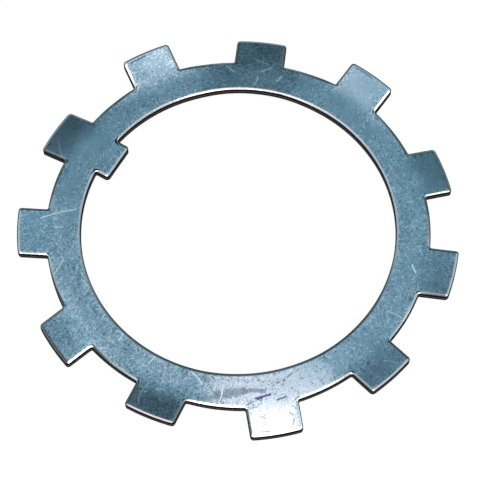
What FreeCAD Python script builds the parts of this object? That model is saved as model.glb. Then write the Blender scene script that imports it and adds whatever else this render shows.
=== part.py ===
# Lock plate: a ring stamped from sheet, with tabs round its rim and one key tab in its bore.
#
# It is one piece. The key tab slides in the shaft's keyway, and once the nut is tight one of the
# outer tabs is bent into a slot of the nut. The outer tabs come from the press already set a little
# out of the ring's plane, by turns down and up, counted from the tab that is in line with the key.
# The ring's rim follows the tabs, and its inner band, against the bore, stays flat.
#
# The outline is drawn flat and padded tall. The formed sheet is laid out one pitch at a time, each
# pitch reaching halfway to the next tab. What the outline keeps of it is rounded along its upper
# edges, and the pitches are then joined.
#
# Frame: the origin is the bore's centre on the ring's lower face. +Z runs along the bore, from the
# bearing side to the nut side, and the key tab is on +Y. Sizes are in millimetres and degrees.
import FreeCAD, Part
import math
import os

import Sketcher

Vector = FreeCAD.Vector

NODE = "lock_plate"
PARTS_FOLDER = "parts"

# Each row is a cell's alias, its value and what it is.
SIZES = (
    ("bore_diameter", 100, "bore over the shaft's thread"),
    ("ring_diameter", 122, "outside of the ring, at the roots of the outer tabs"),
    ("tab_diameter", 140, "circle through the tips of the outer tabs, before they are set"),
    ("tab_count", 11, "outer tabs, evenly spaced"),
    ("tab_width", 16.4, "width of an outer tab, with parallel sides"),
    ("tab_corner", 1, "radius of an outer tab's corners, seen from above"),
    ("tab_root", 0.5, "radius in the corner between an outer tab and the ring"),
    ("key_depth", 5, "how far the key tab's straight end reaches into the bore"),
    ("key_width", 13, "width of the key tab"),
    ("key_corner", 1.2, "radius of the key tab's corners, seen from above"),
    ("key_root", 0.5, "radius in the corner between the key tab and the bore"),
    ("sheet_thickness", 2.5, "thickness of the sheet"),
    ("set_angle", 13, "angle of an outer tab to the ring's plane, in degrees"),
    ("bend_inset", 4.5, "distance from the ring's rim, inwards, at which the bend starts"),
    ("bend_length", 7, "radial length of the bend, which ends in the root of the tab"),
    ("edge_round", 0.6, "rounding that the punch leaves along the upper edges"),
)

# Largest spacing of the points through which the formed surface is laid.
RADIAL_STEP = 2.0
TURN_STEP = math.radians(2.0)
# How far the formed sheet runs on past the outline that is cut from it.
TRIM_MARGIN = 2.0
# How near an edge is to a radius, or to the end of a pitch, to be taken as lying on it.
EDGE_TOLERANCE = 1e-3
# A face whose normal rises by more than this is part of the plate's upper side, not of its wall.
STEEP_NORMAL = 0.5


def make_sizes(doc):
    """Spreadsheet of the driving sizes, one row each, with the value's cell under its alias."""
    sheet = doc.addObject("Spreadsheet::Sheet", "Sizes")
    for row, (alias, value, note) in enumerate(SIZES, start=1):
        sheet.set(f"A{row}", alias)
        sheet.set(f"B{row}", str(value))
        sheet.set(f"C{row}", note)
        sheet.setAlias(f"B{row}", alias)
    doc.recompute()
    return sheet


def key_radius(sizes):
    """Distance from the bore's axis to the key tab's straight end."""
    return sizes.get("bore_diameter") / 2 - sizes.get("key_depth")


def new_sketch(body, name):
    """Empty sketch on the plane of the ring's lower face."""
    plane = next(item for item in body.Origin.OriginFeatures if item.Role == "XY_Plane")
    sketch = body.newObject("Sketcher::SketchObject", name)
    sketch.AttachmentSupport = (plane, "")
    sketch.MapMode = "FlatFace"
    return sketch


def bind(sketch, constraint, expression):
    """Add a size constraint to a sketch and tie it to the spreadsheet."""
    index = sketch.addConstraint(constraint)
    sketch.setExpression(f"Constraints[{index}]", expression)


def pad_outline(body, sketch, name):
    """Pad a sketch of the outline, both ways, tall enough to pass right through the set tabs."""
    pad = body.newObject("PartDesign::Pad", name)
    pad.Profile = sketch
    pad.SideType = "Symmetric"
    pad.setExpression("Length", "2 * Sizes.sheet_thickness + Sizes.tab_diameter * tan(Sizes.set_angle)")
    return pad


def sketch_ring(body, sizes):
    """Two circles on the bore's axis."""
    sketch = new_sketch(body, "RingSketch")
    # Turned so that the circles start and end under the key tab and the outer tab beside it.
    sketch.AttachmentOffset = FreeCAD.Placement(Vector(0, 0, 0), FreeCAD.Rotation(Vector(0, 0, 1), 90))
    for alias in ("bore_diameter", "ring_diameter"):
        circle = Part.Circle(Vector(0, 0, 0), Vector(0, 0, 1), sizes.get(alias) / 2)
        index = sketch.addGeometry(circle)
        sketch.addConstraint(Sketcher.Constraint("Coincident", index, 3, -1, 1))
        bind(sketch, Sketcher.Constraint("Diameter", index, sizes.get(alias)), f"Sizes.{alias}")
    return sketch


def sketch_outer_tab(body, sizes):
    """One outer tab on +Y: parallel sides from inside the ring, and a tip on the tab circle."""
    half_width = sizes.get("tab_width") / 2
    tip_radius = sizes.get("tab_diameter") / 2
    root = (sizes.get("bore_diameter") + sizes.get("ring_diameter")) / 4
    tip = math.sqrt(tip_radius**2 - half_width**2)
    corner_turn = math.asin(half_width / tip_radius)

    sketch = new_sketch(body, "OuterTabSketch")
    base = sketch.addGeometry(Part.LineSegment(Vector(-half_width, root, 0), Vector(half_width, root, 0)))
    right = sketch.addGeometry(Part.LineSegment(Vector(half_width, root, 0), Vector(half_width, tip, 0)))
    tip_circle = Part.Circle(Vector(0, 0, 0), Vector(0, 0, 1), tip_radius)
    end = sketch.addGeometry(
        Part.ArcOfCircle(tip_circle, math.pi / 2 - corner_turn, math.pi / 2 + corner_turn)
    )
    left = sketch.addGeometry(Part.LineSegment(Vector(-half_width, tip, 0), Vector(-half_width, root, 0)))
    sketch.addConstraint(
        [
            Sketcher.Constraint("Coincident", base, 2, right, 1),
            Sketcher.Constraint("Coincident", right, 2, end, 1),
            Sketcher.Constraint("Coincident", end, 2, left, 1),
            Sketcher.Constraint("Coincident", left, 2, base, 1),
            Sketcher.Constraint("Coincident", end, 3, -1, 1),
            Sketcher.Constraint("Vertical", right),
            Sketcher.Constraint("Vertical", left),
            Sketcher.Constraint("Symmetric", base, 1, base, 2, -2),
        ]
    )
    bind(sketch, Sketcher.Constraint("DistanceX", base, 1, base, 2, 2 * half_width), "Sizes.tab_width")
    bind(
        sketch,
        Sketcher.Constraint("DistanceY", -1, 1, base, 1, root),
        "(Sizes.bore_diameter + Sizes.ring_diameter) / 4",
    )
    bind(sketch, Sketcher.Constraint("Radius", end, tip_radius), "Sizes.tab_diameter / 2")
    return sketch


def sketch_key_tab(body, sizes):
    """The key tab on +Y: a rectangle from inside the ring to its straight end in the bore."""
    half_width = sizes.get("key_width") / 2
    tip = key_radius(sizes)
    root = (sizes.get("bore_diameter") + sizes.get("ring_diameter")) / 4
    corners = [
        Vector(-half_width, tip, 0),
        Vector(half_width, tip, 0),
        Vector(half_width, root, 0),
        Vector(-half_width, root, 0),
    ]

    sketch = new_sketch(body, "KeyTabSketch")
    end, right, base, left = (
        sketch.addGeometry(Part.LineSegment(corners[i], corners[(i + 1) % 4])) for i in range(4)
    )
    sketch.addConstraint(
        [
            Sketcher.Constraint("Coincident", end, 2, right, 1),
            Sketcher.Constraint("Coincident", right, 2, base, 1),
            Sketcher.Constraint("Coincident", base, 2, left, 1),
            Sketcher.Constraint("Coincident", left, 2, end, 1),
            Sketcher.Constraint("Vertical", right),
            Sketcher.Constraint("Vertical", left),
            Sketcher.Constraint("Horizontal", base),
            Sketcher.Constraint("Symmetric", end, 1, end, 2, -2),
        ]
    )
    bind(sketch, Sketcher.Constraint("DistanceX", end, 1, end, 2, 2 * half_width), "Sizes.key_width")
    bind(
        sketch,
        Sketcher.Constraint("DistanceY", -1, 1, end, 1, tip),
        "Sizes.bore_diameter / 2 - Sizes.key_depth",
    )
    bind(
        sketch,
        Sketcher.Constraint("DistanceY", -1, 1, base, 1, root),
        "(Sizes.bore_diameter + Sizes.ring_diameter) / 4",
    )
    return sketch


def upright_edges(shape, radius):
    """Names of the vertical corner edges of a shape at one distance from the bore's axis."""
    names = []
    for number, edge in enumerate(shape.Edges, start=1):
        start, end = (vertex.Point for vertex in (edge.Vertexes[0], edge.Vertexes[-1]))
        is_upright = math.hypot(start.x - end.x, start.y - end.y) < EDGE_TOLERANCE
        is_at_radius = abs(math.hypot(start.x, start.y) - radius) < EDGE_TOLERANCE
        is_corner = len(shape.ancestorsOfType(edge, Part.Face)) > 1
        if is_upright and is_at_radius and is_corner:
            names.append(f"Edge{number}")
    return names


def round_corners(body, name, radius, alias):
    """Fillet the outline's corners at one distance from the axis, with the radius of one cell."""
    body.Document.recompute()
    base = body.Tip
    fillet = body.newObject("PartDesign::Fillet", name)
    fillet.Base = (base, upright_edges(base.Shape, radius))
    fillet.setExpression("Radius", f"Sizes.{alias}")
    body.Tip = fillet


def make_outline(doc, sizes):
    """The outline that the press cuts, as an upright block: ring, outer tabs and key tab."""
    body = doc.addObject("PartDesign::Body", "Outline")
    body.Label = "cut_outline"
    pad_outline(body, sketch_ring(body, sizes), "Ring")
    outer_tab = pad_outline(body, sketch_outer_tab(body, sizes), "OuterTab")
    doc.recompute()

    tabs = body.newObject("PartDesign::PolarPattern", "OuterTabs")
    tabs.Originals = [outer_tab]
    tabs.Axis = (outer_tab.Profile[0], ["N_Axis"])
    tabs.Angle = 360
    tabs.setExpression("Occurrences", "Sizes.tab_count")
    body.Tip = tabs
    doc.recompute()

    pad_outline(body, sketch_key_tab(body, sizes), "KeyTab")
    key_end = math.hypot(key_radius(sizes), sizes.get("key_width") / 2)
    round_corners(body, "TabCorners", sizes.get("tab_diameter") / 2, "tab_corner")
    round_corners(body, "TabRoots", sizes.get("ring_diameter") / 2, "tab_root")
    round_corners(body, "KeyCorners", key_end, "key_corner")
    round_corners(body, "KeyRoots", sizes.get("bore_diameter") / 2, "key_root")
    return body


class Forming:
    """How far the press lifts or lowers the sheet at each place."""

    def __init__(self, sizes):
        self.pitch = 2 * math.pi / sizes.get("tab_count")
        self.ring_radius = sizes.get("ring_diameter") / 2
        self.tip_radius = sizes.get("tab_diameter") / 2
        self.bend_length = sizes.get("bend_length")
        self.slope = math.tan(math.radians(sizes.get("set_angle")))
        self.half_tab = math.asin(sizes.get("tab_width") / 2 / self.ring_radius)
        self.thickness = sizes.get("sheet_thickness")
        self.flat_start = key_radius(sizes) - self.thickness
        self.bend_radius = self.ring_radius - sizes.get("bend_inset")

    def radial_rise(self, radius):
        """Rise along a tab's centre line for a slope of one: an even bend, then a straight slope."""
        past_bend_start = max(radius - self.bend_radius, 0)
        if past_bend_start < self.bend_length:
            return past_bend_start**2 / (2 * self.bend_length)
        return past_bend_start - self.bend_length / 2

    def share(self, turn):
        """Share of the rise at an angle from the tab's centre line, fading out at half a pitch."""
        to_gap_middle = (self.pitch / 2 - abs(turn)) / (self.pitch / 2 - self.half_tab)
        held = min(max(to_gap_middle, 0), 1)
        return held**2 * (3 - 2 * held)

    def point(self, radius, turn, direction):
        """Point of the sheet's lower face, near the tab on +Y."""
        height = direction * self.slope * self.radial_rise(radius) * self.share(turn)
        return Vector(-radius * math.sin(turn), radius * math.cos(turn), height)

    def formed_face(self, direction):
        """Lower face of the band that is formed, over one pitch, past the tips of the tabs."""
        outer_radius = self.tip_radius + TRIM_MARGIN
        radial_count = math.ceil((outer_radius - self.bend_radius) / RADIAL_STEP)
        turn_count = 2 * math.ceil(self.pitch / 2 / TURN_STEP)
        radii = [
            self.bend_radius + (outer_radius - self.bend_radius) * i / radial_count
            for i in range(radial_count + 1)
        ]
        turns = [self.pitch * (i / turn_count - 0.5) for i in range(turn_count + 1)]
        surface = Part.BSplineSurface()
        surface.interpolate([[self.point(radius, turn, direction) for turn in turns] for radius in radii])
        return surface.toShape()

    def flat_face(self, bend_edge):
        """Lower face of the flat inner band, over one pitch, out to the edge where the bend starts."""
        first, middle, last = (
            self.point(self.flat_start, turn, 0) for turn in (-self.pitch / 2, 0, self.pitch / 2)
        )
        bend_ends = [vertex.Point for vertex in bend_edge.Vertexes]
        edges = [Part.Arc(first, middle, last).toShape(), bend_edge]
        for corner in (first, last):
            edges.append(Part.makeLine(corner, min(bend_ends, key=corner.distanceToPoint)))
        return Part.Face(Part.Wire(Part.__sortEdges__(edges)))

    def pitch_solid(self, direction):
        """One pitch of the formed sheet, with its tab set up (1) or down (-1)."""
        formed = self.formed_face(direction)
        flat = self.flat_face(min(formed.Edges, key=radius_at_middle))
        lift = Vector(0, 0, self.thickness)
        return flat.extrude(lift).fuse(formed.extrude(lift)).removeSplitter()


def middle_of(edge):
    """Point halfway along an edge."""
    return edge.valueAt(sum(edge.ParameterRange) / 2)


def radius_at_middle(edge):
    """Distance from the bore's axis to the middle of an edge."""
    middle = middle_of(edge)
    return math.hypot(middle.x, middle.y)


def tab_direction(number, count):
    """Which way a tab is set: by turns from the tab at the key, which is set down, both ways round."""
    steps_from_key = min(number, count - number)
    return -1 if steps_from_key % 2 == 0 else 1


def is_upper_edge(shape, edge, pitch_ends):
    """Whether an edge of one pitch of the plate lies between its upper side and the wall round it."""
    middle = middle_of(edge)
    if any(abs(middle.dot(normal)) < EDGE_TOLERANCE for normal in pitch_ends):
        return False
    faces = shape.ancestorsOfType(edge, Part.Face)
    rises = [face.normalAt(*face.Surface.parameter(middle)).z for face in faces]
    return len(rises) == 2 and max(rises) > STEEP_NORMAL and abs(min(rises)) < STEEP_NORMAL


def make_pitch(doc, outline, forming, sizes, number):
    """One pitch of the plate, with its tab: formed, cut to the outline, and rounded along the top."""
    sheet = doc.addObject("Part::Feature", f"FormedPitch{number}")
    sheet.Label = f"formed_pitch_{number}"
    sheet.Shape = forming.pitch_solid(tab_direction(number, int(sizes.get("tab_count"))))
    sheet.Placement = FreeCAD.Placement(Vector(0, 0, 0), FreeCAD.Rotation(Vector(0, 0, 1), 0))
    sheet.setExpression("Placement.Rotation.Angle", f"{number} * 360 / Sizes.tab_count")

    cut = doc.addObject("Part::MultiCommon", f"CutPitch{number}")
    cut.Label = f"cut_pitch_{number}"
    cut.Shapes = [outline, sheet]
    doc.recompute()

    end_turns = ((number - 0.5) * forming.pitch, (number + 0.5) * forming.pitch)
    pitch_ends = [Vector(math.cos(turn), math.sin(turn), 0) for turn in end_turns]
    radius = sizes.get("edge_round")
    rounded = doc.addObject("Part::Fillet", f"Pitch{number}")
    rounded.Label = f"pitch_{number}"
    rounded.Base = cut
    rounded.Edges = [
        (index, radius, radius)
        for index, edge in enumerate(cut.Shape.Edges, start=1)
        if is_upper_edge(cut.Shape, edge, pitch_ends)
    ]
    return rounded


def make_plate(doc, pitches):
    """The whole plate, from its pitches."""
    plate = doc.addObject("Part::MultiFuse", "LockPlate")
    plate.Label = NODE
    plate.Shapes = pitches
    plate.Refine = True
    doc.recompute()
    return plate


def check(doc, plate, pitches):
    """Stop if any object has failed, an upper edge isn't rounded or the plate isn't one valid solid."""
    for item in doc.Objects:
        if "Invalid" in item.State or "Error" in item.State:
            raise RuntimeError(f"{item.Label} failed: {item.State}")
    for pitch in pitches:
        if pitch.Shape.Volume >= pitch.Base.Shape.Volume:
            raise RuntimeError(f"{pitch.Label} isn't rounded along its upper edges")
    shape = plate.Shape
    if shape.isNull() or not shape.isValid() or len(shape.Solids) != 1:
        raise RuntimeError("the plate isn't one valid solid")


def main():
    doc = FreeCAD.newDocument("LockPlate")
    sizes = make_sizes(doc)
    outline = make_outline(doc, sizes)
    forming = Forming(sizes)
    tab_count = int(sizes.get("tab_count"))
    pitches = [make_pitch(doc, outline, forming, sizes, number) for number in range(tab_count)]
    plate = make_plate(doc, pitches)
    check(doc, plate, pitches)

    os.makedirs(PARTS_FOLDER, exist_ok=True)
    plate.Shape.exportStep(os.path.join(PARTS_FOLDER, f"{NODE}.step"))
    box = plate.Shape.optimalBoundingBox()
    reach = f"{box.XLength:.2f} x {box.YLength:.2f} x {box.ZLength:.2f} mm"
    print(f"{NODE}: {plate.Shape.Volume:.1f} mm3, {reach}")


main()
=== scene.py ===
"""Lock plate: a zinc-plated steel ring with square tabs round its rim and a key tab in its bore.

The plate is stamped from sheet. Its upper edges are rounded by the punch and its walls are sheared.
The outer tabs are set a little out of the ring's plane, each at its own angle, by turns down and up
from the tab in line with the key. Lengths are in metres and angles in degrees. The bore's centre on
the ring's lower face is the origin, +Z is the nut side and the key tab is on +Y.
"""

from __future__ import annotations

import logging
import math
from dataclasses import dataclass
from enum import Enum
from typing import Callable, Iterable

import bmesh
import bpy
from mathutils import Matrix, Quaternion, Vector
from mathutils.kdtree import KDTree

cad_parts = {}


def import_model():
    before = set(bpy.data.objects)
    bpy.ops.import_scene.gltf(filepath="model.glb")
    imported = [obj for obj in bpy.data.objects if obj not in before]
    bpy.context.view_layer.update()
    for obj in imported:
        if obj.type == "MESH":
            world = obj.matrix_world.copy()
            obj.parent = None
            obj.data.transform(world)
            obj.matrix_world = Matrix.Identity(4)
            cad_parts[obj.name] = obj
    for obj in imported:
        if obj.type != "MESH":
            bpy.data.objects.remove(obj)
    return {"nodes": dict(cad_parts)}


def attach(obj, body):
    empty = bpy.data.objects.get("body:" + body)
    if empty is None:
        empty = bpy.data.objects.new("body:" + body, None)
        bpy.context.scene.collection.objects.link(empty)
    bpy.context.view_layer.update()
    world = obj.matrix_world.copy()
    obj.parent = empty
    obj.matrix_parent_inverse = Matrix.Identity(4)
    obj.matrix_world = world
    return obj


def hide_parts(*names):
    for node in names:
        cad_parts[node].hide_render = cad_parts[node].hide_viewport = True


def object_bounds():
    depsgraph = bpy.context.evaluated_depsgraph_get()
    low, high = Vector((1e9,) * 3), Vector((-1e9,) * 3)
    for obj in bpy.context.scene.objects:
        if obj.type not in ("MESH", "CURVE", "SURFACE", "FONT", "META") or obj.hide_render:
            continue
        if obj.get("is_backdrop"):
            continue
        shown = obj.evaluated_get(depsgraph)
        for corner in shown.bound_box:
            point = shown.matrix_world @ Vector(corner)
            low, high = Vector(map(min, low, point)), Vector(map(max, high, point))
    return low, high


log = logging.getLogger("lock_plate")

MM = 0.001
BODY = "root"
NODE = "lock_plate"
# How near a point lies to a place to be taken as being there, and the same for an angle in degrees.
NEAR = 0.02 * MM
NEAR_TURN = 0.1
# A face is a wall if its normal rises less than the first, and level if it rises more than the second.
WALL_RISE = 0.1
LEVEL_RISE = 0.9
# The way the camera looks, clockwise from +Y as seen from above.
PHOTO_AZIMUTH = 58.50

Socket = bpy.types.NodeSocket
Colour = tuple[float, float, float]
Stops = tuple[tuple[float, float], ...]


class Part(Enum):
    """What a selection in edit mode picks out."""

    VERTS = "VERT"
    EDGES = "EDGE"
    FACES = "FACE"


class Group(Enum):
    """Names of the plate's vertex data."""

    # Depth below the upper side, as a share of the sheet.
    DEPTH = "wall_depth"
    # Distance from the outline, in millimetres.
    INSET = "inset"
    # Share of a height that each point is pushed by.
    PRESSED = "pressed"


def deselect_everything() -> None:
    """Leave no object and no mesh element selected."""
    if bpy.context.object is not None and bpy.context.object.mode != "OBJECT":
        bpy.ops.object.mode_set(mode="OBJECT")
    bpy.ops.object.select_all(action="DESELECT")


def edit_mesh() -> bmesh.types.BMesh:
    """Take hold of the mesh that is open in edit mode.

    Returns:
        The mesh.
    """
    mesh = bmesh.from_edit_mesh(bpy.context.object.data)
    mesh.verts.ensure_lookup_table()
    return mesh


def centre_of(element: bmesh.types.BMVert | bmesh.types.BMEdge | bmesh.types.BMFace) -> Vector:
    """Find the middle of a part of a mesh.

    Args:
        element: the vertex, edge or face.

    Returns:
        Its place, or the mean of its corners' places.
    """
    if isinstance(element, bmesh.types.BMVert):
        return element.co.copy()
    total = Vector()
    for vert in element.verts:
        total += vert.co
    return total / len(element.verts)


def select(part: Part, wanted: Callable[[object], bool]) -> int:
    """Select, in edit mode, just the elements that pass a test.

    Args:
        part: kind of element, which also becomes the select mode.
        wanted: test of one element.

    Returns:
        How many elements were selected.
    """
    bpy.ops.mesh.select_all(action="DESELECT")
    bpy.ops.mesh.select_mode(type=part.value)
    mesh = edit_mesh()
    elements = {Part.VERTS: mesh.verts, Part.EDGES: mesh.edges, Part.FACES: mesh.faces}[part]
    count = 0
    for element in elements:
        if wanted(element):
            element.select_set(True)
            count += 1
    mesh.select_flush_mode()
    bmesh.update_edit_mesh(bpy.context.object.data)
    return count


def radius_of(point: Vector) -> float:
    """Return a point's distance from the bore's axis."""
    return math.hypot(point.x, point.y)


def turn_of(point: Vector) -> float:
    """Return a point's angle round the bore from +Y, counterclockwise, from -180 to 180 degrees."""
    return math.degrees(math.atan2(-point.x, point.y))


def is_wall(face: bmesh.types.BMFace | bpy.types.MeshPolygon) -> bool:
    """Tell whether a face stands upright."""
    return abs(face.normal.z) < WALL_RISE


def smooth_step(share: float) -> float:
    """Return an even ease from 0 to 1 of a share that is first held to that range."""
    held = min(max(share, 0.0), 1.0)
    return held * held * (3 - 2 * held)


@dataclass
class LockPlate:
    """The stamped sheet: its outline, its edges and the set of its outer tabs."""

    bore_radius: float = 50 * MM
    ring_radius: float = 61 * MM
    tip_radius: float = 70 * MM
    tab_width: float = 16.4 * MM
    tab_corner: float = 1.0 * MM
    tab_root: float = 0.5 * MM
    key_width: float = 13 * MM
    key_depth: float = 5 * MM
    key_corner: float = 1.2 * MM
    key_root: float = 0.5 * MM
    thickness: float = 2.5 * MM
    # The punch draws the upper edges down: further across than down.
    roll_width: float = 0.95 * MM
    roll_depth: float = 0.36 * MM
    edge_segments: int = 8
    roll_profile: float = 0.33
    corner_segments: int = 6
    corner_profile: float = 0.5
    bend_inset: float = 4.5 * MM
    bend_length: float = 7 * MM
    # Set of each outer tab, counterclockwise from the key: up is positive.
    set_angles: tuple[float, ...] = (-12.2, 11.4, -15.4, 14.2, -8.2, 8.9, 15.2, -13.1, 15.0, -3.6, 17.0)
    # Tilt of the whole band at a tab: number of the tab and angle, up outwards.
    band_tilts: tuple[tuple[int, float], ...] = ((4, -3.8), (9, -4.4))
    # How far such a tilt reaches to each side, in halves of the pitch.
    tilt_reach: float = 1.5
    # Edges that turn by more than this stay sharp, and how much the level faces steer the shading.
    sharp_angle: float = 35
    shading_weight: int = 60
    # Counts of steps and cuts in the mesh.
    gap_steps: int = 5
    tab_steps: int = 8
    band_cuts: int = 9
    tab_extrusions: int = 6
    key_extrusions: int = 3

    def __post_init__(self) -> None:
        """Work out the angles that the outline repeats by."""
        self.pitch = 360 / len(self.set_angles)
        self.half_tab = math.degrees(math.asin(self.tab_width / 2 / self.ring_radius))
        self.half_key = math.degrees(math.asin(self.key_width / 2 / self.bore_radius))

    def build(self) -> bpy.types.Object:
        """Model the plate.

        Returns:
            The finished object, at the origin.
        """
        self.spin_pitch()
        self.draw_out_tab()
        self.repeat_pitch()
        self.draw_in_key()
        self.thicken()
        self.round_corners()
        self.round_upper_edges()
        plate = self.finish_mesh()
        self.set_tabs(plate)
        self.tilt_band(plate)
        self.shade(plate)
        return plate

    def spin_pitch(self) -> None:
        """Spin a radial line of the ring's band over one pitch, centred on +Y."""
        deselect_everything()
        middle = (self.bore_radius + self.ring_radius) / 2
        width = self.ring_radius - self.bore_radius
        bpy.ops.mesh.primitive_plane_add(size=width, location=(0, middle, 0))
        bpy.context.object.name = "plate"
        bpy.ops.object.transform_apply(location=True, rotation=True, scale=True)
        bpy.ops.object.mode_set(mode="EDIT")
        select(Part.VERTS, lambda vert: vert.co.x < 0)
        bpy.ops.mesh.delete(type="VERT")
        bpy.ops.mesh.select_all(action="SELECT")
        bpy.ops.transform.resize(value=(0, 1, 1), center_override=(0, 0, 0))
        bpy.ops.mesh.subdivide(number_cuts=self.band_cuts)
        bpy.ops.mesh.select_all(action="SELECT")
        bpy.ops.transform.rotate(
            value=math.radians(self.pitch / 2), orient_axis="Z", center_override=(0, 0, 0)
        )
        # Spin turns clockwise for a positive angle, so the line goes on from its side to the other.
        towards = math.copysign(1, turn_of(edit_mesh().verts[0].co))
        half_gap = self.pitch / 2 - self.half_tab
        for steps, angle in (
            (self.gap_steps, half_gap),
            (self.tab_steps, 2 * self.half_tab),
            (self.gap_steps, half_gap),
        ):
            turn = towards * math.radians(angle)
            bpy.ops.mesh.spin(steps=steps, angle=turn, center=(0, 0, 0), axis=(0, 0, 1))

    def draw_edges(self, radius: float, half_angle: float, step: float, steps: int) -> None:
        """Extrude the outline's edges round +Y along Y.

        Args:
            radius: radius that the edges lie on.
            half_angle: how far they reach to each side of +Y, in degrees.
            step: length of one extrusion, outwards if positive.
            steps: how many extrusions follow each other.
        """
        select(
            Part.EDGES,
            lambda edge: all(abs(radius_of(vert.co) - radius) < NEAR for vert in edge.verts)
            and abs(turn_of(centre_of(edge))) < half_angle,
        )
        for _ in range(steps):
            bpy.ops.mesh.extrude_edges_move(TRANSFORM_OT_translate={"value": (0, step, 0)})

    def draw_out_tab(self) -> None:
        """Extrude the tab from the band's rim, in steps, and set its tip on the tab circle."""
        step = (self.tip_radius - self.ring_radius) / self.tab_extrusions
        self.draw_edges(self.ring_radius, self.half_tab, step, self.tab_extrusions)
        fall_at_rim = self.ring_radius * (1 - math.cos(math.radians(self.half_tab)))
        fall_at_tip = self.tip_radius - math.sqrt(self.tip_radius**2 - (self.tab_width / 2) ** 2)
        bpy.ops.transform.resize(
            value=(1, fall_at_tip / fall_at_rim, 1), center_override=(0, self.tip_radius, 0)
        )

    def repeat_pitch(self) -> None:
        """Copy the pitch round the bore and weld the copies."""
        bpy.ops.mesh.select_all(action="SELECT")
        bpy.ops.mesh.spin(
            steps=len(self.set_angles) - 1,
            angle=math.radians(360 - self.pitch),
            center=(0, 0, 0),
            axis=(0, 0, 1),
            dupli=True,
        )
        bpy.ops.mesh.select_all(action="SELECT")
        bpy.ops.mesh.remove_doubles(threshold=NEAR)

    def draw_in_key(self) -> None:
        """Extrude the key tab from the bore's edge at +Y, in steps, and flatten its end."""
        for side in (-1, 1):
            select(
                Part.VERTS,
                lambda vert: abs(radius_of(vert.co) - self.bore_radius) < NEAR
                and abs(turn_of(vert.co) - side * self.half_tab) < NEAR_TURN,
            )
            slide = Quaternion((0, 0, 1), math.radians(side * (self.half_key - self.half_tab)))
            for vert in edit_mesh().verts:
                if vert.select:
                    vert.co.rotate(slide)
        step = self.key_depth / self.key_extrusions
        self.draw_edges(self.bore_radius, self.half_key, -step, self.key_extrusions)
        end = self.bore_radius - self.key_depth
        bpy.ops.transform.resize(value=(1, 0, 1), center_override=(0, end, 0))

    def thicken(self) -> None:
        """Raise the flat outline to the sheet's thickness."""
        bpy.ops.mesh.select_all(action="SELECT")
        bpy.ops.mesh.extrude_region_move(TRANSFORM_OT_translate={"value": (0, 0, self.thickness)})
        bpy.ops.mesh.select_all(action="SELECT")
        bpy.ops.mesh.normals_make_consistent(inside=False)

    def corner_places(self) -> dict[float, list[tuple[float, float]]]:
        """List the outline's corners.

        Returns:
            Radius and turn of each corner, under the rounding that it gets.
        """
        tip_turn = math.degrees(math.asin(self.tab_width / 2 / self.tip_radius))
        key_end = math.hypot(self.bore_radius - self.key_depth, self.key_width / 2)
        key_turn = math.degrees(math.asin(self.key_width / 2 / key_end))
        corners = []
        for number in range(len(self.set_angles)):
            middle = number * self.pitch
            for side in (-1, 1):
                corners.append((self.tab_corner, self.tip_radius, middle + side * tip_turn))
                corners.append((self.tab_root, self.ring_radius, middle + side * self.half_tab))
        for side in (-1, 1):
            corners.append((self.key_corner, key_end, side * key_turn))
            corners.append((self.key_root, self.bore_radius, side * self.half_key))
        places: dict[float, list[tuple[float, float]]] = {}
        for rounding, radius, turn in corners:
            places.setdefault(rounding, []).append((radius, turn))
        return places

    def bevel(self, width: float, segments: int, profile: float) -> None:
        """Bevel the selected edges.

        Args:
            width: how far the bevel reaches from each edge.
            segments: how many faces it has across.
            profile: its shape, from 0.25 for flat to 0.5 for round.
        """
        bpy.ops.mesh.bevel(
            offset=width,
            offset_type="OFFSET",
            segments=segments,
            profile=profile,
            affect="EDGES",
            clamp_overlap=False,
        )

    def round_corners(self) -> None:
        """Round the outline's upright corners, seen from above."""
        for rounding, places in self.corner_places().items():
            points = [
                Vector((-radius * math.sin(math.radians(turn)), radius * math.cos(math.radians(turn))))
                for radius, turn in places
            ]

            def is_corner(edge: bmesh.types.BMEdge) -> bool:
                """Tell whether an edge stands upright on one of the corners."""
                low, high = (vert.co.xy for vert in edge.verts)
                return (low - high).length < NEAR and any(
                    (low - point).length < 3 * NEAR for point in points
                )

            count = select(Part.EDGES, is_corner)
            log.info("%d corners rounded by %.2f mm", count, rounding / MM)
            self.bevel(rounding, self.corner_segments, self.corner_profile)

    def round_upper_edges(self) -> None:
        """Round the edges between the upper side and the walls."""
        bpy.ops.mesh.select_all(action="SELECT")
        bpy.ops.mesh.remove_doubles(threshold=NEAR / 10)
        bpy.ops.mesh.normals_make_consistent(inside=False)

        def is_upper(edge: bmesh.types.BMEdge) -> bool:
            """Tell whether an edge lies between the upper side and a wall."""
            upper = any(face.normal.z > LEVEL_RISE for face in edge.link_faces)
            return upper and any(is_wall(face) for face in edge.link_faces)

        count = select(Part.EDGES, is_upper)
        log.info("%d upper edges rounded by %.2f mm", count, self.roll_width / MM)
        self.bevel(self.roll_width, self.edge_segments, self.roll_profile)
        select(Part.VERTS, lambda vert: NEAR / 10 < self.thickness - vert.co.z < self.roll_width + NEAR)
        bpy.ops.transform.resize(
            value=(1, 1, self.roll_depth / self.roll_width), center_override=(0, 0, self.thickness)
        )

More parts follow.
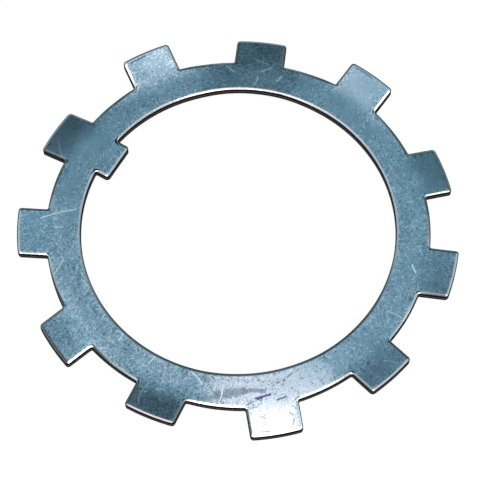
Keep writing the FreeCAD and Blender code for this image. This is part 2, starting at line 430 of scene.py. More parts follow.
    def finish_mesh(self) -> bpy.types.Object:
        """Give each point its depth below the upper side and its distance from the outline.

        Returns:
            The plate's object, in object mode.
        """
        bpy.ops.object.mode_set(mode="OBJECT")
        plate = bpy.context.object
        plate.select_set(True)
        points = [vert.co.copy() for vert in plate.data.vertices]
        flat_points = [Vector((point.x, point.y, 0)) for point in points]
        outline = {index for face in plate.data.polygons if is_wall(face) for index in face.vertices}
        tree = KDTree(len(outline))
        for index in sorted(outline):
            tree.insert(flat_points[index], index)
        tree.balance()
        values = {
            Group.DEPTH: [1 - point.z / self.thickness for point in points],
            Group.INSET: [tree.find(point)[2] / MM for point in flat_points],
        }
        for group, numbers in values.items():
            attribute = plate.data.attributes.new(group.value, "FLOAT", "POINT")
            attribute.data.foreach_set("value", numbers)
        return plate

    def rise(self, radius: float) -> float:
        """Work out how far a tab's centre line has risen, for a slope of one.

        Args:
            radius: distance from the bore's axis.

        Returns:
            The rise.
        """
        past_start = max(radius - (self.ring_radius - self.bend_inset), 0)
        if past_start < self.bend_length:
            return past_start**2 / (2 * self.bend_length)
        return past_start - self.bend_length / 2

    def off_tab(self, point: Vector, number: int) -> float:
        """Return a point's angle from one tab's centre line, in degrees."""
        return abs((turn_of(point) - number * self.pitch + 180) % 360 - 180)

    def press(self, plate: bpy.types.Object, share_of: Callable[[Vector], float], height: float) -> None:
        """Push part of the plate up or down.

        Args:
            plate: the plate.
            share_of: share of the height that a point gets, 0 to 1.
            height: how far a full share goes up.
        """
        group = plate.vertex_groups.new(name=Group.PRESSED.value)
        for vert in plate.data.vertices:
            share = share_of(vert.co)
            if share > 0:
                group.add([vert.index], share, "REPLACE")
        modifier = plate.modifiers.new("press", "DISPLACE")
        modifier.direction = "Z"
        modifier.mid_level = 0
        modifier.strength = height
        modifier.vertex_group = Group.PRESSED.value
        bpy.ops.object.modifier_apply(modifier=modifier.name)
        plate.vertex_groups.remove(plate.vertex_groups[Group.PRESSED.value])

    def set_tabs(self, plate: bpy.types.Object) -> None:
        """Set each outer tab up or down, with the rim fading to flat halfway to the next tab.

        Args:
            plate: the flat plate, which is the active object.
        """
        full_rise = self.rise(self.tip_radius)
        half_gap = self.pitch / 2 - self.half_tab
        for number, angle in enumerate(self.set_angles):

            def tab_share(point: Vector, number: int = number) -> float:
                """Return the share of the tab's rise that a point gets."""
                fade = smooth_step((self.pitch / 2 - self.off_tab(point, number)) / half_gap)
                return fade * self.rise(radius_of(point)) / full_rise

            self.press(plate, tab_share, full_rise * math.tan(math.radians(angle)))

    def tilt_band(self, plate: bpy.types.Object) -> None:
        """Tilt the band about its middle at the tabs where it isn't quite flat.

        Args:
            plate: the plate, which is the active object.
        """
        middle = (self.bore_radius + self.ring_radius) / 2
        inwards = middle - self.bore_radius + self.key_depth
        outwards = self.tip_radius - middle
        for number, angle in self.band_tilts:
            for side, reach in ((-1, inwards), (1, outwards)):

                def band_share(
                    point: Vector, number: int = number, side: int = side, reach: float = reach
                ) -> float:
                    """Return the share of the tilt that a point gets on one side of the middle."""
                    fade = smooth_step(self.tilt_reach - self.off_tab(point, number) / (self.pitch / 2))
                    return fade * max(side * (radius_of(point) - middle), 0) / reach

                self.press(plate, band_share, side * reach * math.tan(math.radians(angle)))

    def shade(self, plate: bpy.types.Object) -> None:
        """Shade the plate smooth but for its sharp edges, with the flat sides kept even.

        Args:
            plate: the plate, which is the active object.
        """
        bpy.ops.object.shade_smooth_by_angle(angle=math.radians(self.sharp_angle))
        weighted = plate.modifiers.new("even_shading", "WEIGHTED_NORMAL")
        weighted.keep_sharp = True
        weighted.weight = self.shading_weight
        bpy.ops.object.modifier_apply(modifier=weighted.name)


class NodeSheet:
    """A material's or world's node tree, with short calls for the nodes that the finishes use."""

    def __init__(self, tree: bpy.types.NodeTree) -> None:
        """Take over a node tree.

        Args:
            tree: the tree to add nodes to.
        """
        self.tree = tree

    def node(self, kind: str, **settings: object) -> bpy.types.Node:
        """Add a node.

        Args:
            kind: the node's type name.
            **settings: properties of the node, by name.

        Returns:
            The new node.
        """
        node = self.tree.nodes.new(kind)
        for name, value in settings.items():
            setattr(node, name, value)
        return node

    def feed(self, socket: Socket, value: object) -> None:
        """Link another node's output to a socket, or set the socket's own value.

        Args:
            socket: the input.
            value: an output socket, or a plain value.
        """
        if isinstance(value, Socket):
            self.tree.links.new(value, socket)
        else:
            socket.default_value = value

    def math(self, operation: str, *values: object, clamp: bool = False) -> Socket:
        """Add a Math node.

        Args:
            operation: the node's operation.
            *values: its inputs, each a socket or a number.
            clamp: whether the result is held between 0 and 1.

        Returns:
            Its result.
        """
        node = self.node("ShaderNodeMath", operation=operation, use_clamp=clamp)
        for socket, value in zip(node.inputs, values):
            self.feed(socket, value)
        return node.outputs[0]

    def vector(self, operation: str, *values: object) -> bpy.types.Node:
        """Add a Vector Math node.

        Args:
            operation: the node's operation.
            *values: its inputs, each a socket or a vector.

        Returns:
            The node.
        """
        node = self.node("ShaderNodeVectorMath", operation=operation)
        for socket, value in zip(node.inputs, values):
            self.feed(socket, value)
        return node

    def scaled(self, vector: Vector, scale: Socket) -> Socket:
        """Multiply a fixed vector.

        Args:
            vector: the vector.
            scale: the factor's socket.

        Returns:
            The product.
        """
        node = self.node("ShaderNodeVectorMath", operation="SCALE")
        node.inputs[0].default_value = vector
        self.feed(node.inputs["Scale"], scale)
        return node.outputs[0]

    def ramp(self, value: Socket, stops: Stops) -> Socket:
        """Carry a value through a grey ramp.

        Args:
            value: the input socket.
            stops: each stop's place and level.

        Returns:
            The ramp's level.
        """
        node = self.node("ShaderNodeValToRGB")
        elements = node.color_ramp.elements
        while len(elements) < len(stops):
            elements.new(1)
        for element, (place, level) in zip(elements, stops):
            element.position = place
            element.color = (level, level, level, 1)
        self.feed(node.inputs["Fac"], value)
        return node.outputs["Color"]

    def step(self, value: object, low: float, high: float) -> Socket:
        """Ease evenly from 0, where a value is at its low, to 1, where it is at its high.

        Args:
            value: the input socket.
            low: value that gives 0.
            high: value that gives 1.

        Returns:
            The eased share.
        """
        node = self.node("ShaderNodeMapRange", interpolation_type="SMOOTHSTEP")
        self.feed(node.inputs["Value"], value)
        node.inputs["From Min"].default_value = low
        node.inputs["From Max"].default_value = high
        return node.outputs[0]

    def most(self, values: Iterable[object]) -> Socket:
        """Find the highest of some values.

        Args:
            values: their sockets.

        Returns:
            The highest.
        """
        highest, *others = values
        for value in others:
            highest = self.math("MAXIMUM", highest, value)
        return highest

    def mix(self, share: object, first: object, second: object) -> Socket:
        """Mix two colours.

        Args:
            share: how much of the second colour shows.
            first: the colour underneath.
            second: the colour on top.

        Returns:
            The mixed colour.
        """
        node = self.node("ShaderNodeMix", data_type="RGBA")
        for name, value in (("Factor_Float", share), ("A_Color", first), ("B_Color", second)):
            socket = next(item for item in node.inputs if item.identifier == name)
            self.feed(socket, value)
        return next(item for item in node.outputs if item.identifier == "Result_Color")


class Finish:
    """A finish of the plate: the base of each material."""

    name = "finish"
    # Scale of the grains along Z, where the sheet is thin.
    upright_stretch = 0.2

    def __init__(self) -> None:
        """Open a new material with its shader, and its place on the plate in millimetres."""
        self.material = bpy.data.materials.new(self.name)
        self.material.use_nodes = True
        self.sheet = NodeSheet(self.material.node_tree)
        self.shader = self.material.node_tree.nodes["Principled BSDF"]
        place = self.sheet.node("ShaderNodeTexCoord").outputs["Object"]
        self.place = self.sheet.vector("MULTIPLY", place, (1 / MM, 1 / MM, 1 / MM)).outputs[0]

    def noise(self, size: float, detail: float, rough: float, place: Socket | None = None) -> Socket:
        """Add a noise.

        Args:
            size: size of its patches, in millimetres.
            detail: how many finer octaves it has.
            rough: how strong those are.
            place: the point it is read at, if not the plain one.

        Returns:
            Its level, about a half on average.
        """
        node = self.sheet.node("ShaderNodeTexNoise")
        self.sheet.feed(node.inputs["Vector"], place or self.place)
        node.inputs["Scale"].default_value = 1 / size
        node.inputs["Detail"].default_value = detail
        node.inputs["Roughness"].default_value = rough
        return node.outputs["Fac"]

    def read(self, group: Group) -> Socket:
        """Return one of the plate's own attributes."""
        return self.sheet.node("ShaderNodeAttribute", attribute_name=group.value).outputs["Fac"]

    def grain(self, turn: float, length: float, width: float) -> Socket:
        """Add a noise of short strokes that run one way.

        Args:
            turn: their angle to the X axis, in degrees.
            length: their usual spacing lengthways, in millimetres.
            width: their usual spacing sideways, in millimetres.

        Returns:
            Its level.
        """
        turned = self.sheet.node("ShaderNodeMapping")
        self.sheet.feed(turned.inputs["Vector"], self.place)
        turned.inputs["Rotation"].default_value = (0, 0, math.radians(-turn))
        stretch = (1 / length, 1 / width, self.upright_stretch)
        thin = self.sheet.vector("MULTIPLY", turned.outputs[0], stretch).outputs[0]
        return self.noise(1, 1, 0.4, thin)


@dataclass(frozen=True)
class Mark:
    """A single scratch, dent or stain on the upper side. Lengths are in millimetres."""

    start: tuple[float, float]
    end: tuple[float, float]
    # How far its middle stands off the straight line, to the left as seen from its start.
    bow: float
    half_width: float
    strength: float = 0.8


class ZincFinish(Finish):
    """Blue-passivated zinc on the upper and lower sides: flecked, pitted and finely scratched, with painted
    shade along the outline and a painted highlight on the bright tab.
    """

    name = "zinc"
    shade = (0.160, 0.300, 0.410, 1)
    base = (0.205, 0.365, 0.490, 1)
    scratch = (0.56, 0.76, 0.90, 1)
    pit = (0.035, 0.080, 0.125, 1)
    stain = (0.055, 0.050, 0.20, 1)
    # Paler colour painted on the bright tab as highlight.
    painted_glare = (0.36, 0.52, 0.66, 1)
    worn_edge = (0.50, 0.57, 0.63, 1)
    # Painted shade: a near-black, non-metal line along the outline's rounded edge.
    painted_edge_shade = (0.006, 0.007, 0.009, 1)
    # Strokes of the pale flecks, the dark flecks and the longer hairlines: turn, length and width.
    pale_strokes = ((24, 1.3, 0.37), (78, 1.2, 0.36), (131, 1.3, 0.37))
    dark_strokes = ((56, 1.1, 0.38), (-20, 1.2, 0.38))
    hairlines = ((12, 6, 0.36), (-38, 7, 0.38), (71, 5, 0.36))
    # Levels of the noise at which they start to show and show in full, and how strong they are then.
    pale_levels = (0.57, 0.67)
    dark_levels = (0.55, 0.65)
    hair_levels = (0.66, 0.71)
    pale_strength = 0.55
    dark_strength = 0.65
    hair_strength = 0.45
    # What is added to their noise: everywhere, then where the surface is worn, busy or calm.
    fleck_base = -0.085
    fleck_worn = 0.07
    fleck_busy = 0.04
    fleck_calm = -0.05
    # Distances from the outline between which the wear sets in, in millimetres.
    wear_reach = (3.2, 0.8)
    # The cloudy mottling, the frayed borders and the busier patches: size, octaves and their strength.
    mottling = (6, 4, 0.6)
    fraying = (0.8, 2, 0.6)
    patching = (8, 2, 0.5)
    # Levels of the noises between which the deeper colour turns to the base and a patch sets in.
    mottle_levels = (0.3, 0.7)
    patch_levels = (0.44, 0.64)
    patch_strength = 0.3
    glare_fray = 0.9
    # Distances from the outline between which the painted edge shade sets in, and how much that border
    # frays.
    edge_shade_reach = (0.35, 0.23)
    edge_shade_fray = 0.12
    # Depths, as shares of the sheet, over which the worn edge and the clean lower side set in.
    edge_depths = (0.002, 0.012)
    lower_depths = (0.7, 0.9)
    # Depths over which the single marks of the upper side fade out.
    mark_depths = (0.6, 0.4)
    # How much a mark's border frays, and where it fades, as shares of the mark's half width.
    mark_fray = 2
    mark_border = (1.3, 0.7)
    roughness = 0.18
    mottled_roughness = 0.12
    edge_polish = 0.10
    relief_height = 0.02 * MM
    relief_strength = 0.5
    fleck_relief = 0.35
    scratches = (
        Mark((-29.7, 55.3), (-21.5, 47.8), 0.5, 0.2, 0.9),
        Mark((-30, 49.5), (-28.3, 48), 0, 0.2, 0.7),
        Mark((-44, 41), (-37.7, 41.4), 0, 0.2, 0.7),
        Mark((-2.6, 66.7), (-10.1, 58.4), -0.4, 0.18, 0.55),
        Mark((7.1, 64.3), (7.3, 64.2), 0, 0.25, 0.9),
        Mark((53, 22.9), (55.6, 21.2), 0, 0.24, 1),
        Mark((52.2, 16.7), (54.7, 16.2), 0, 0.3, 1),
        Mark((46.8, 22.6), (50.5, 22.9), -0.4, 0.2, 0.9),
        Mark((56.3, 27.6), (56.4, 23.1), 0, 0.18, 0.7),
        Mark((49.1, 34.4), (48.2, 30.1), -0.2, 0.2, 0.9),
        Mark((-59.4, -4), (-67.4, -5.3), -0.9, 0.2),
        Mark((-62.6, -4.6), (-62.5, -4.7), 0, 0.34, 1),
        Mark((-60.1, -7.3), (-60, -7.4), 0, 0.26, 0.9),
        Mark((-59.4, -8), (-59.3, -8.1), 0, 0.26, 0.9),
        Mark((-58.9, -8.9), (-58.8, -9), 0, 0.26, 0.9),
        Mark((-49.7, -13.4), (-51.4, -18), 0.3, 0.24, 0.9),
        Mark((-51, -1), (-54, -0.5), 0, 0.2),
        Mark((-49.7, 11.7), (-52.1, 11.4), 0, 0.22, 0.9),
        Mark((-49.6, -24.3), (-53.1, -25.4), 0.2, 0.2, 0.9),
        Mark((16.8, -53.7), (15, -55.9), 0, 0.24, 1),
        Mark((-0.8, -54.8), (-0.5, -60.4), 0, 0.16, 0.5),
        Mark((-16.3, -62.1), (-15.1, -66.1), 0.3, 0.18, 0.6),
    )
    strokes = (
        Mark((-43.8, -40.3), (-41.7, -42), 0, 0.3, 0.9),
        Mark((-50.5, -32.9), (-47.9, -34.5), 0, 0.18),
        Mark((-52, -24.1), (-46.9, -30), 0, 1.35, 0.55),
        Mark((-47, -30.1), (-43.6, -35.5), 0.3, 0.6, 0.55),
        Mark((-55.2, -21.1), (-52.4, -23.7), 0, 0.75, 0.35),
        Mark((-39.3, -37.6), (-38.3, -38), 0, 0.22),
        Mark((-37.8, -38.8), (-36.9, -38.8), 0, 0.18),
        Mark((-35.4, -39.5), (-34.1, -39.8), 0, 0.2),
        Mark((-32.8, -40.8), (-31.7, -40.9), 0, 0.16),
        Mark((68.7, -4.1), (67.9, -10.2), 0.3, 0.18),
        Mark((32.2, 60.6), (36.9, 58), 0, 0.26),
    )
    stains = (
        Mark((-46.8, -34.5), (-43.4, -37.7), 0, 0.3, 0.95),
        Mark((-46.6, -34.9), (-45.6, -35.9), 0, 0.42, 0.9),
        # Faint specks on the bright tab.
        Mark((-50.8, -38.7), (-50.6, -40), 0, 0.3, 0.6),
        Mark((-51.1, -40.7), (-52.1, -40.9), 0, 0.25, 0.6),
        Mark((-54.5, -41.3), (-53.3, -43), 0, 0.35, 0.6),
        Mark((-45.1, -45.6), (-45.2, -46.7), 0, 0.3, 0.6),
        Mark((-46, -47.7), (-47.7, -48.2), 0, 0.25, 0.6),
    )
    # Paler patches on the bright tab: painted highlight.
    painted_glare_patches = (
        Mark((-49, -27.5), (-33, -46), 1.5, 7.5, 0.9),
        Mark((-46, -39.8), (-51.5, -44.8), 0, 7.5, 0.9),
    )
    # Where flecks are fewer.
    calm = (
        Mark((1, 67), (0.5, 58), 0, 7, 1),
        Mark((45, -47), (66, -30), 0, 5, 0.6),
        Mark((52, -8), (67, -9), 0, 5.5, 1),
        Mark((-15, 53), (-30, 45), 0, 3, 0.7),
        Mark((-50, -43.5), (-52, -45.2), 0, 6, 1),
    )
    # Where they are more.
    busy = (
        Mark((-42, 38), (-55, -20), 0, 22, 1),
        Mark((31, 58), (38, 54), 0, 7, 0.3),
        Mark((-65.9, -4.9), (-62.1, -14), 0, 6),
        Mark((16.4, -60.2), (19.7, -64.7), 0, 6, 0.6),
        Mark((53.3, 31.5), (60.4, 18.4), 0, 6, 0.7),
    )

    def dress(self) -> bpy.types.Material:
        """Paint and polish the plate's sides.

        Returns:
            The material.
        """
        sheet = self.sheet
        depth, inset = self.read(Group.DEPTH), self.read(Group.INSET)
        mottle = self.noise(*self.mottling)
        ragged = sheet.math("SUBTRACT", self.noise(*self.fraying), 0.5)
        hold = self.hold(inset, ragged)
        pale = self.flecks(self.pale_strokes, hold, 1, *self.pale_levels)
        dark = self.flecks(self.dark_strokes, hold, -1, *self.dark_levels)
        hair = self.flecks(self.hairlines, hold, 1, *self.hair_levels)
        paler = sheet.math("MULTIPLY", pale, self.pale_strength)
        light = sheet.math("MAXIMUM", paler, sheet.math("MULTIPLY", hair, self.hair_strength))
        colour = self.plating(mottle, ragged)
        colour = sheet.mix(sheet.math("MULTIPLY", dark, self.dark_strength), colour, self.pit)
        colour = sheet.mix(light, colour, self.scratch)
        colour = self.marked(colour, depth, ragged)
        worn = sheet.step(depth, *self.edge_depths)
        # Painted shade along the outline: near black and not metal.
        edge_shade_share = sheet.step(sheet.math("MULTIPLY_ADD", ragged, self.edge_shade_fray, inset), *self.edge_shade_reach)
        lower = sheet.step(depth, *self.lower_depths)
        for share, tint in ((worn, self.worn_edge), (edge_shade_share, self.painted_edge_shade), (lower, self.base)):
            colour = sheet.mix(share, colour, tint)
        sheet.feed(self.shader.inputs["Base Color"], colour)
        bare = sheet.math("SUBTRACT", 1, sheet.math("SUBTRACT", edge_shade_share, lower), clamp=True)
        sheet.feed(self.shader.inputs["Metallic"], bare)
        self.shader.inputs["Specular IOR Level"].default_value = 0
        rough = sheet.math("MULTIPLY_ADD", mottle, self.mottled_roughness, self.roughness)
        polished = sheet.math("MULTIPLY", worn, sheet.math("SUBTRACT", 1, lower))
        rough = sheet.math("MULTIPLY_ADD", polished, -self.edge_polish, rough)
        sheet.feed(self.shader.inputs["Roughness"], rough)
        bump = sheet.node("ShaderNodeBump")
        bump.inputs["Strength"].default_value = self.relief_strength
        bump.inputs["Distance"].default_value = self.relief_height
        relief = sheet.math("MULTIPLY_ADD", sheet.math("SUBTRACT", pale, dark), self.fleck_relief, mottle)
        sheet.feed(bump.inputs["Height"], relief)
        sheet.feed(self.shader.inputs["Normal"], bump.outputs[0])
        return self.material

    def hold(self, inset: Socket, ragged: Socket) -> Socket:
        """Work out how easily flecks show, from wear, patches and the calm and busy places.

        Args:
            inset: distance from the outline.
            ragged: a noise about 0 that frays the borders of places.

        Returns:
            What is added to the flecks' noise, further below 0 where they are fewer.
        """
        sheet = self.sheet
        patches = sheet.step(self.noise(*self.patching), *self.patch_levels)
        patches = sheet.math("MULTIPLY", patches, self.patch_strength)
        worn = sheet.math("MAXIMUM", patches, sheet.step(inset, *self.wear_reach))
        calm = sheet.most(self.draw(mark, ragged) for mark in self.calm)
        busy = sheet.most(self.draw(mark, ragged) for mark in self.busy)
        hold = sheet.math("MULTIPLY_ADD", worn, self.fleck_worn, self.fleck_base)
        hold = sheet.math("MULTIPLY_ADD", busy, self.fleck_busy, hold)
        return sheet.math("MULTIPLY_ADD", calm, self.fleck_calm, hold)

    def plating(self, mottle: Socket, ragged: Socket) -> Socket:
        """Mix the plating's own colour, mottled, with paler patches painted on the bright tab as highlight.

        Args:
            mottle: the cloudy noise.
            ragged: a finer noise, about 0.

        Returns:
            The colour.
        """
        sheet = self.sheet
        colour = sheet.mix(sheet.step(mottle, *self.mottle_levels), self.shade, self.base)
        centred = sheet.math("SUBTRACT", mottle, 0.5)
        cloud = sheet.math("MULTIPLY_ADD", centred, self.glare_fray, ragged)
        # Painted highlight: paler patches on the bright tab.
        painted_glare = sheet.most(self.draw(mark, cloud) for mark in self.painted_glare_patches)
        return sheet.mix(painted_glare, colour, self.painted_glare)

    def marked(self, colour: Socket, depth: Socket, ragged: Socket) -> Socket:
        """Draw the single strokes, stains and scratches on the upper side.

        Args:
            colour: the colour underneath.
            depth: depth below the upper side, as a share of the sheet.
            ragged: a noise about 0 that frays their borders.

        Returns:
            The colour with them.
        """
        sheet = self.sheet
        upper = sheet.step(depth, *self.mark_depths)
        layers = ((self.strokes, self.pit), (self.stains, self.stain), (self.scratches, self.scratch))
        for marks, tint in layers:
            share = sheet.most(self.draw(mark, ragged) for mark in marks)
            colour = sheet.mix(sheet.math("MULTIPLY", share, upper), colour, tint)
        return colour

    def flecks(
        self, strokes: Iterable[tuple[float, float, float]], hold: Socket, sign: int, low: float, high: float
    ) -> Socket:
        """Scatter flecks of some directions.

        Args:
            strokes: turn, length and width of each direction's strokes.
            hold: added to the noise, below 0 where flecks are fewer.
            sign: 1 for the noise's peaks, -1 for its hollows.
            low: level at which a fleck starts to show.
            high: level at which it shows in full.

        Returns:
            How strongly a fleck shows.
        """
        shares = []
        for turn, length, width in strokes:
            noise = self.grain(turn, length, width)
            if sign < 0:
                noise = self.sheet.math("SUBTRACT", 1, noise)
            shares.append(self.sheet.step(self.sheet.math("ADD", noise, hold), low, high))
        return self.sheet.most(shares)

    def draw(self, mark: Mark, ragged: Socket) -> Socket:
        """Draw a single mark.

        Args:
            mark: the mark.
            ragged: a noise about 0 that frays its border.

        Returns:
            How strongly the mark shows.
        """
        sheet = self.sheet
        start, end = Vector((*mark.start, 0)), Vector((*mark.end, 0))
        span = end - start
        flat = sheet.vector("MULTIPLY", self.place, (1, 1, 0)).outputs[0]
        off = sheet.vector("SUBTRACT", flat, start).outputs[0]
        along = sheet.vector("DOT_PRODUCT", off, span / span.length_squared).outputs["Value"]
        along = sheet.math("MULTIPLY", along, 1, clamp=True)
        off = sheet.vector("SUBTRACT", off, sheet.scaled(span, along)).outputs[0]
        if mark.bow:
            # The arch is a quarter high in its middle, so the side is four times the bow.
            side = Vector((-span.y, span.x, 0)).normalized() * 4 * mark.bow
            arch = sheet.math("MULTIPLY", along, sheet.math("SUBTRACT", 1, along))
            off = sheet.vector("SUBTRACT", off, sheet.scaled(side, arch)).outputs[0]
        distance = sheet.vector("LENGTH", off).outputs["Value"]
        frayed = sheet.math("MULTIPLY_ADD", ragged, self.mark_fray * mark.half_width, distance)
        share = sheet.step(frayed, *(mark.half_width * share for share in self.mark_border))
        return sheet.math("MULTIPLY", share, mark.strength)


class ShadedWallFinish(Finish):
    """The sheared wall, painted near black as shade, with a slightly paler line halfway down, where the
    punch burnished it.
    """

    name = "sheared_wall_painted_shade"
    # Painted shade: the wall's colour is near black, and its burnished line only a little paler.
    dark = (0.005, 0.005, 0.006, 1)
    pale = (0.075, 0.075, 0.08, 1)
    # The pale line: depth as a share of the sheet, and how strongly it shows there.
    burnish = ((0.44, 0), (0.50, 1), (0.57, 1), (0.63, 0))
    # The wall's upright grain: its scale, and how much it frays the pale line and roughens the wall.
    grain_scale = (1.2, 1.2, 0.2)
    fray = 0.2
    roughness = 0.4
    grainy_roughness = 0.3

    def dress(self) -> bpy.types.Material:
        """Paint the walls.

        Returns:
            The material.
        """
        sheet = self.sheet
        grain = self.noise(1, 2, 0.6, sheet.vector("MULTIPLY", self.place, self.grain_scale).outputs[0])
        centred = sheet.math("SUBTRACT", grain, 0.5)
        ragged = sheet.math("MULTIPLY_ADD", centred, self.fray, self.read(Group.DEPTH))
        band = sheet.ramp(ragged, self.burnish)
        sheet.feed(self.shader.inputs["Base Color"], sheet.mix(band, self.dark, self.pale))
        sheet.feed(self.shader.inputs["Metallic"], band)
        self.shader.inputs["Specular IOR Level"].default_value = 0
        rough = sheet.math("MULTIPLY_ADD", grain, self.grainy_roughness, self.roughness)
        sheet.feed(self.shader.inputs["Roughness"], rough)
        return self.material


@dataclass(frozen=True)
class Glow:
    """A round glow in the sky."""

    # Its centre, in degrees from the zenith away from the camera and to the camera's right.
    far: float
    right: float
    tint: Colour
    # Its brightness at angles from its centre, in degrees.
    stops: Stops


@dataclass
class Studio:
    """Floor and sky."""

    floor_size: float = 4.0
    floor_colour: tuple[float, ...] = (0.9, 0.9, 0.9, 1)
    # How much of the floor is plain white. The rest takes the plate's shadow.
    floor_white: float = 0.93
    glows: tuple[Glow, ...] = (
        # The room, dim and bluish low down.
        Glow(5, 5, (0.80, 0.97, 1.0), (
            (0, 0.95), (18, 0.82), (27, 0.70), (32, 0.45), (38, 0.30), (41, 0.18), (47, 0.22),
            (53, 0.06), (60, 0.05), (65, 0.28), (72, 0.38), (81, 0.52), (90, 0.7),
        )),
        # Its left wall.
        Glow(22, -28, (0.90, 0.97, 1.0), ((0, 0.47), (11, 0.43), (15, 0.24), (18, 0.04), (21, 0))),
        # Lamps to both sides of the camera.
        Glow(-14, 42, (1.0, 0.93, 0.90), ((0, 3), (12, 2.6), (18, 0.6), (22, 0))),
        Glow(-22, -22, (1.0, 0.93, 0.90), ((0, 3.2), (9, 2.8), (12, 1.2), (15, 0))),
        # Paler places on the left and on the right wall.
        Glow(2, -20, (0.90, 0.97, 1.0), ((0, 0.35), (5, 0.28), (11, 0))),
        Glow(25, 30, (0.80, 0.97, 1.0), ((0, 0.2), (10, 0.18), (24, 0))),
        # The soft, warm edge of the long lamp.
        Glow(5, -1.5, (1.0, 0.51, 0.38), (
            (0, 1.3), (10, 1.2), (12, 1.05), (13.5, 0.65), (16, 0.14), (20, 0.02), (24, 0),
        )),
        # The long lamp overhead, which reaches back over the camera.
        Glow(-11, 2.5, (1.0, 0.60, 0.48), ((0, 6), (6, 6), (10, 0))),
        Glow(-30, 1, (1.0, 0.80, 0.70), ((0, 4), (18, 4), (26, 0))),
        Glow(-65, 0, (1.0, 0.92, 0.88), ((0, 2.2), (26, 2.2), (42, 0))),
        # A weaker lamp, far to the right.
        Glow(-5, 62, (1, 0.95, 0.9), ((0, 1.4), (16, 1.2), (26, 0))),
    )

    def build(self, lowest: float) -> None:
        """Make the floor under the plate, and the light round it.

        Args:
            lowest: height of the floor.
        """
        self.lay_floor(lowest)
        self.light_world()

    def lay_floor(self, lowest: float) -> None:
        """Make the pale floor, which the camera sees as white with a faint shadow.

        Args:
            lowest: height of the floor.
        """
        deselect_everything()
        bpy.ops.mesh.primitive_plane_add(size=self.floor_size, location=(0, 0, lowest))
        floor = bpy.context.object
        floor.name = "floor"
        material = bpy.data.materials.new("floor_paper")
        material.use_nodes = True
        sheet = NodeSheet(material.node_tree)
        shader = material.node_tree.nodes["Principled BSDF"]
        shader.inputs["Base Color"].default_value = self.floor_colour
        shader.inputs["Roughness"].default_value = 1
        shader.inputs["Specular IOR Level"].default_value = 0
        white = sheet.node("ShaderNodeEmission")
        rays = sheet.node("ShaderNodeLightPath")
        mixed = sheet.node("ShaderNodeMixShader")
        seen = sheet.math("MAXIMUM", rays.outputs["Is Camera Ray"], rays.outputs["Is Glossy Ray"])
        seen = sheet.math("MAXIMUM", seen, rays.outputs["Is Transmission Ray"])
        sheet.feed(mixed.inputs[0], sheet.math("MULTIPLY", seen, self.floor_white))
        sheet.feed(mixed.inputs[1], shader.outputs[0])
        sheet.feed(mixed.inputs[2], white.outputs[0])
        sheet.feed(material.node_tree.nodes["Material Output"].inputs["Surface"], mixed.outputs[0])
        floor.data.materials.append(material)
        floor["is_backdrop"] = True

    def centre_of_glow(self, glow: Glow) -> Vector:
        """Find where a glow stands in the sky.

        Args:
            glow: the glow.

        Returns:
            The direction of its centre.
        """
        azimuth = math.radians(PHOTO_AZIMUTH)
        ahead = Vector((math.sin(azimuth), math.cos(azimuth), 0))
        beside = Vector((ahead.y, -ahead.x, 0))
        off = math.radians(math.hypot(glow.far, glow.right))
        across = (ahead * glow.far + beside * glow.right).normalized()
        return across * math.sin(off) + Vector((0, 0, math.cos(off)))

    def light_world(self) -> None:
        """Light the plate with the sky's glows, and show the camera plain white behind it."""
        world = bpy.data.worlds.new("studio")
        world.use_nodes = True
        bpy.context.scene.world = world
        sheet = NodeSheet(world.node_tree)
        place = sheet.node("ShaderNodeTexCoord").outputs["Generated"]
        towards = sheet.vector("NORMALIZE", place).outputs[0]
        light = None
        for glow in self.glows:
            part = sheet.node("ShaderNodeBackground")
            part.inputs["Color"].default_value = (*glow.tint, 1)
            sheet.feed(part.inputs["Strength"], self.level(sheet, towards, glow))
            if light is None:
                light = part.outputs[0]
            else:
                both = sheet.node("ShaderNodeAddShader")
                sheet.feed(both.inputs[0], light)
                sheet.feed(both.inputs[1], part.outputs[0])
                light = both.outputs[0]
        white = sheet.node("ShaderNodeBackground")
        white.inputs["Color"].default_value = (1, 1, 1, 1)
        rays = sheet.node("ShaderNodeLightPath")
        mixed = sheet.node("ShaderNodeMixShader")
        seen = sheet.math("MAXIMUM", rays.outputs["Is Camera Ray"], rays.outputs["Is Transmission Ray"])
        sheet.feed(mixed.inputs[0], seen)
        sheet.feed(mixed.inputs[1], light)
        sheet.feed(mixed.inputs[2], white.outputs[0])
        sheet.feed(world.node_tree.nodes["World Output"].inputs["Surface"], mixed.outputs[0])

    def level(self, sheet: NodeSheet, towards: Socket, glow: Glow) -> Socket:
        """Work out a glow's brightness in a direction.

        Args:
            sheet: the world's node tree.
            towards: the direction looked in.
            glow: the glow.

        Returns:
            The brightness.
        """
        along = sheet.vector("DOT_PRODUCT", towards, self.centre_of_glow(glow)).outputs["Value"]
        angle = sheet.math("DIVIDE", sheet.math("ARCCOSINE", along), math.pi)
        brightest = max(level for _, level in glow.stops)
        shares = tuple((degrees / 180, level / brightest) for degrees, level in glow.stops)
        return sheet.math("MULTIPLY", sheet.ramp(angle, shares), brightest)


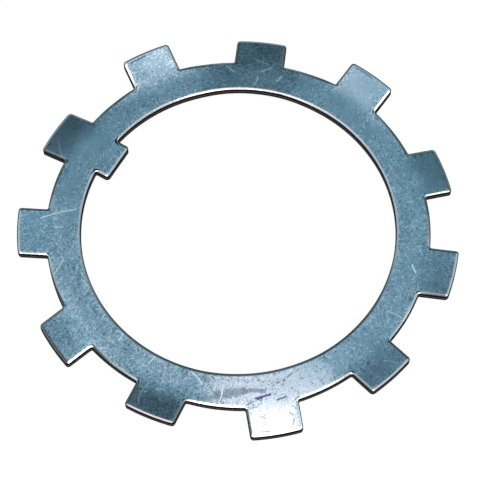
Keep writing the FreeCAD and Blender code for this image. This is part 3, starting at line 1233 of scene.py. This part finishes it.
@dataclass(frozen=True)
class Viewpoint:
    """The camera, at the photograph's angle."""

    aim: tuple[float, float, float] = (-3.055 * MM, -2.478 * MM, 1.25 * MM)
    azimuth: float = PHOTO_AZIMUTH
    elevation: float = 64.43
    roll: float = -0.45
    distance: float = 627.70 * MM
    lens: float = 148.52
    sensor: float = 36

    def place(self) -> bpy.types.Object:
        """Set up the scene's camera. Azimuth 0 looks along +Y.

        Returns:
            The camera.
        """
        azimuth, elevation = math.radians(self.azimuth), math.radians(self.elevation)
        level = math.cos(elevation)
        ahead = Vector((math.sin(azimuth) * level, math.cos(azimuth) * level, -math.sin(elevation)))
        data = bpy.data.cameras.new("camera")
        data.lens = self.lens
        data.sensor_width = self.sensor
        camera = bpy.data.objects.new("camera", data)
        bpy.context.scene.collection.objects.link(camera)
        camera.location = Vector(self.aim) - ahead * self.distance
        camera.rotation_mode = "QUATERNION"
        turn = Quaternion((0, 0, 1), math.radians(self.roll))
        camera.rotation_quaternion = ahead.to_track_quat("-Z", "Y") @ turn
        bpy.context.scene.camera = camera
        return camera


def dress_plate(plate: bpy.types.Object) -> None:
    """Give the plate's sides the zinc, and its sheared walls their near-black finish of painted shade.

    Args:
        plate: the finished plate.
    """
    deselect_everything()
    bpy.context.view_layer.objects.active = plate
    plate.select_set(True)
    plate.data.materials.append(ZincFinish().dress())
    plate.data.materials.append(ShadedWallFinish().dress())
    bpy.ops.object.mode_set(mode="EDIT")
    select(Part.FACES, is_wall)
    plate.active_material_index = 1
    bpy.ops.object.material_slot_assign()
    bpy.ops.object.mode_set(mode="OBJECT")


def box_as_lists(box: Iterable[Iterable[float]]) -> list[list[float]]:
    """Return a box's two corners as plain lists of numbers."""
    return [[float(value) for value in corner] for corner in box]


def main() -> list[list[float]]:
    """Build the plate, its finish, the studio and the camera.

    Returns:
        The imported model's box.
    """
    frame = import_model()
    packed_box = box_as_lists(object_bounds())
    bpy.context.scene.view_settings.view_transform = "Standard"
    log.info("packed model has %d node", len(frame["nodes"]))

    plate = LockPlate().build()
    plate.name = "zinc_plate"
    dress_plate(plate)
    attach(plate, BODY)
    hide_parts(NODE)
    log.info("plate: %d faces", len(plate.data.polygons))

    Studio().build(min(packed_box[0][2], box_as_lists(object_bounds())[0][2]))
    Viewpoint().place()
    return packed_box


if __name__ == "__main__":
    logging.basicConfig(level=logging.INFO, format="%(name)s: %(message)s")
    PACKED_BOX = main()
